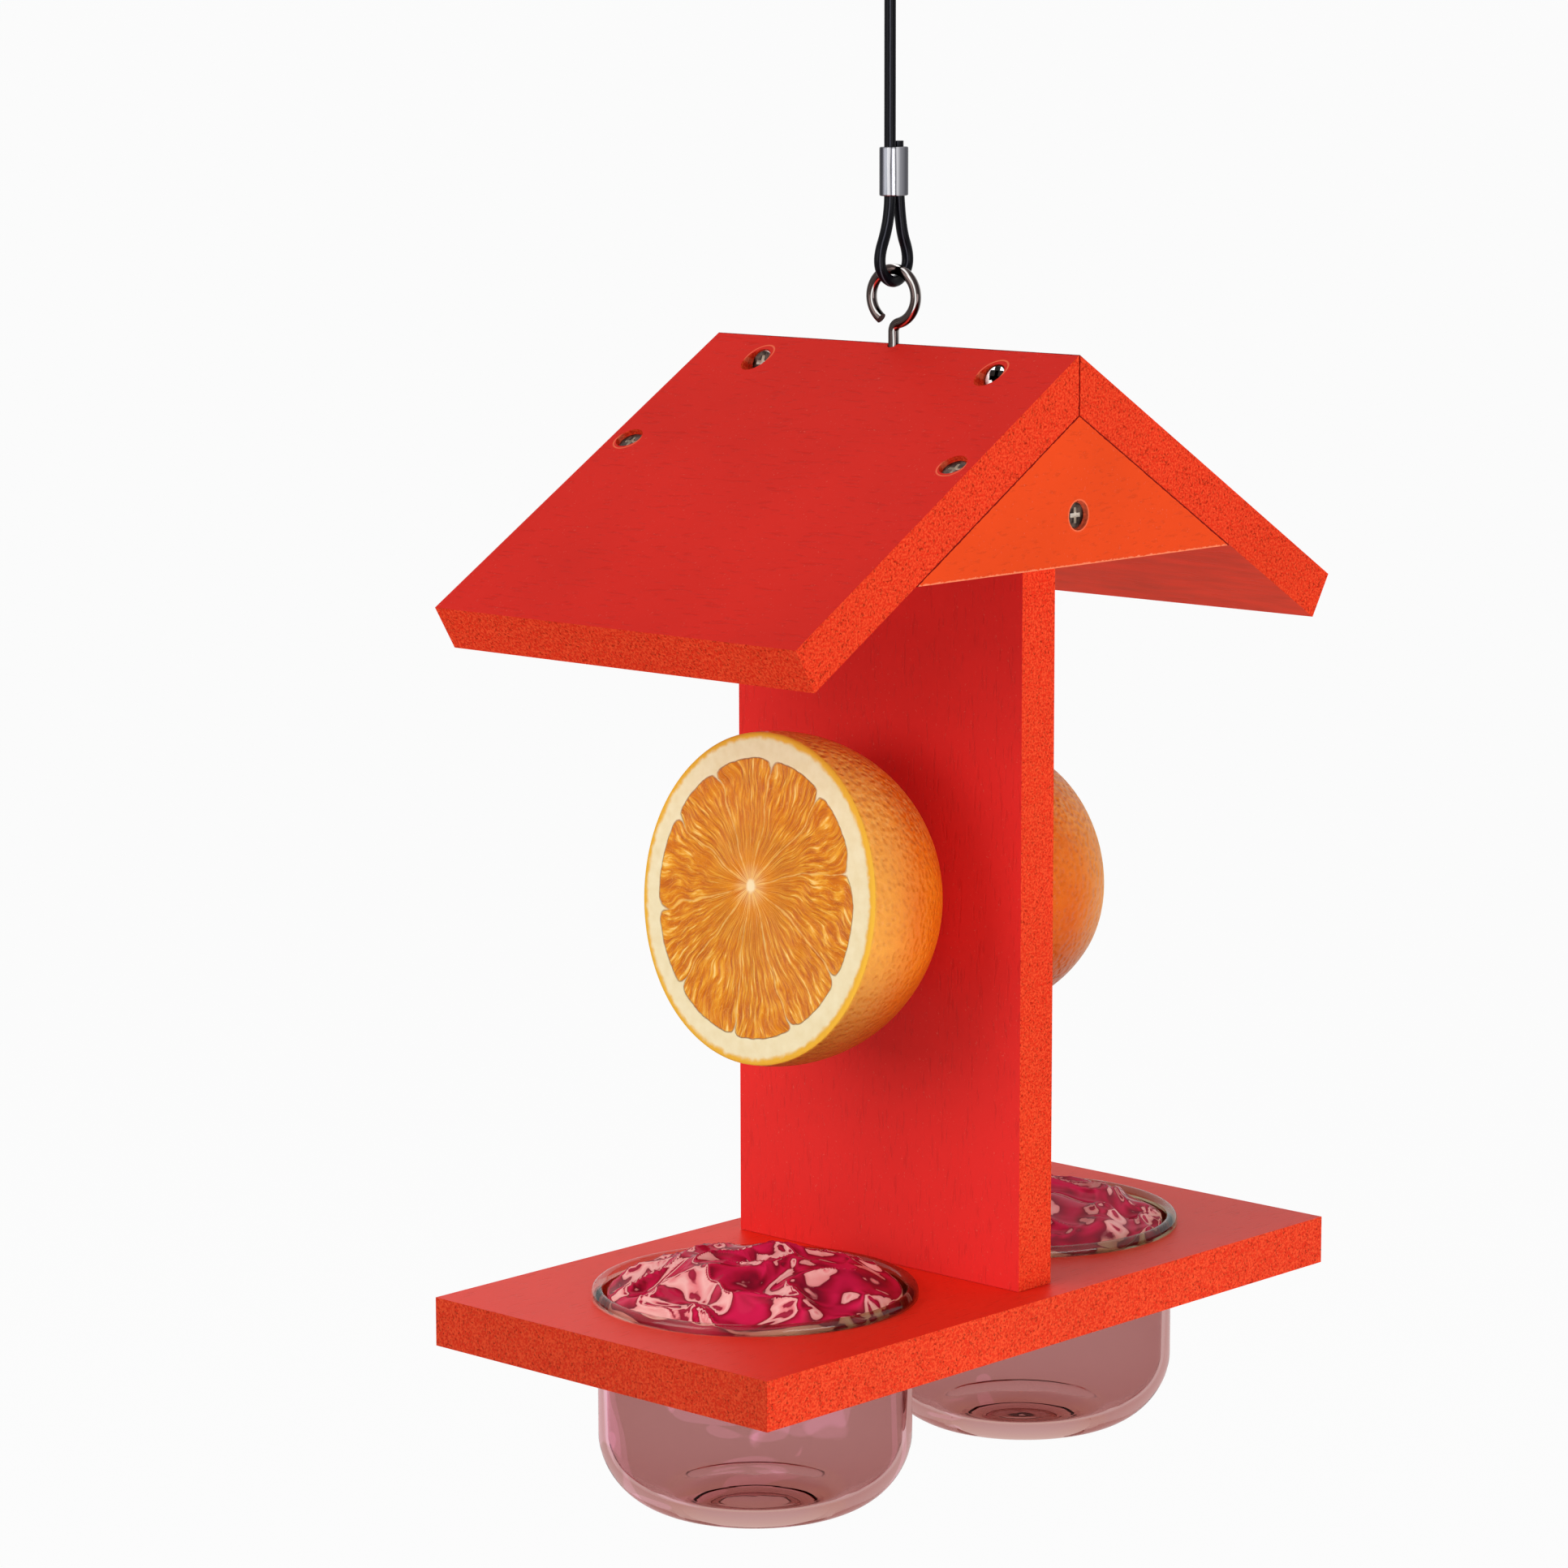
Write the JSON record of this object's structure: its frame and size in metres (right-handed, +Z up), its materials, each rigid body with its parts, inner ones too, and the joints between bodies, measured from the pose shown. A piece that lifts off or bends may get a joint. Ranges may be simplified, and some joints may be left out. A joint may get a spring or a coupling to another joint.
{
  "type": "oriole feeder",
  "caption": "Hanging bird feeder: red roofed board house with glass jelly cups in its base and orange halves spiked on both sides of its post, hung by a looped cable.",
  "frame": {"origin": "where a hook bears inside the top cable loop", "axes": "+Z up along the hanging cable, +X along the long side of the base board (from the left cup to the right cup), +Y along the roof ridge, towards the back"},
  "size_m": [0.221, 0.1236, 0.4229],
  "materials": {
    "red_board": "recycled foamed plastic board, satin skin, rough sawn edges",
    "cup_glass": "clear moulded glass, fire-polished rim",
    "fruit_jelly": "glossy wet jelly",
    "orange_fruit": "fresh cut orange, pored peel",
    "screw_steel": "zinc plated steel",
    "bright_steel": "polished stainless wire",
    "ferrule_aluminium": "bright crimped aluminium",
    "cable_jacket": "glossy black vinyl jacket"
  },
  "bodies": {
    "hanger": {"cable": "cable_jacket", "ferrule_upper": "ferrule_aluminium", "ferrule_lower": "ferrule_aluminium"},
    "feeder": {"base_board": "red_board", "post": "red_board", "gable_front": "red_board", "gable_back": "red_board", "roof_board_left": "red_board", "roof_board_right": "red_board", "cup_left": "cup_glass", "cup_right": "cup_glass", "jelly_left": "fruit_jelly", "jelly_right": "fruit_jelly", "fruit_spike": "screw_steel", "orange_half_left": "orange_fruit", "orange_half_right": "orange_fruit", "eye_screw": "bright_steel", "gable_screw_front": "screw_steel", "gable_screw_back": "screw_steel", "roof_screw_left_front": "screw_steel", "roof_screw_left_back": "screw_steel", "roof_screw_right_front": "screw_steel", "roof_screw_right_back": "screw_steel", "ridge_screw_front": "screw_steel", "ridge_screw_back": "screw_steel", "base_screw_front": "screw_steel", "base_screw_back": "screw_steel"}
  },
  "joints": [
    {"name": "feeder_swing", "type": "hinge", "parent": "hanger", "child": "feeder", "pos_m": [0, 0, -0.1125], "axis": [0.9945, 0.1045, 0], "range_deg": [-60, 60]}
  ]
}
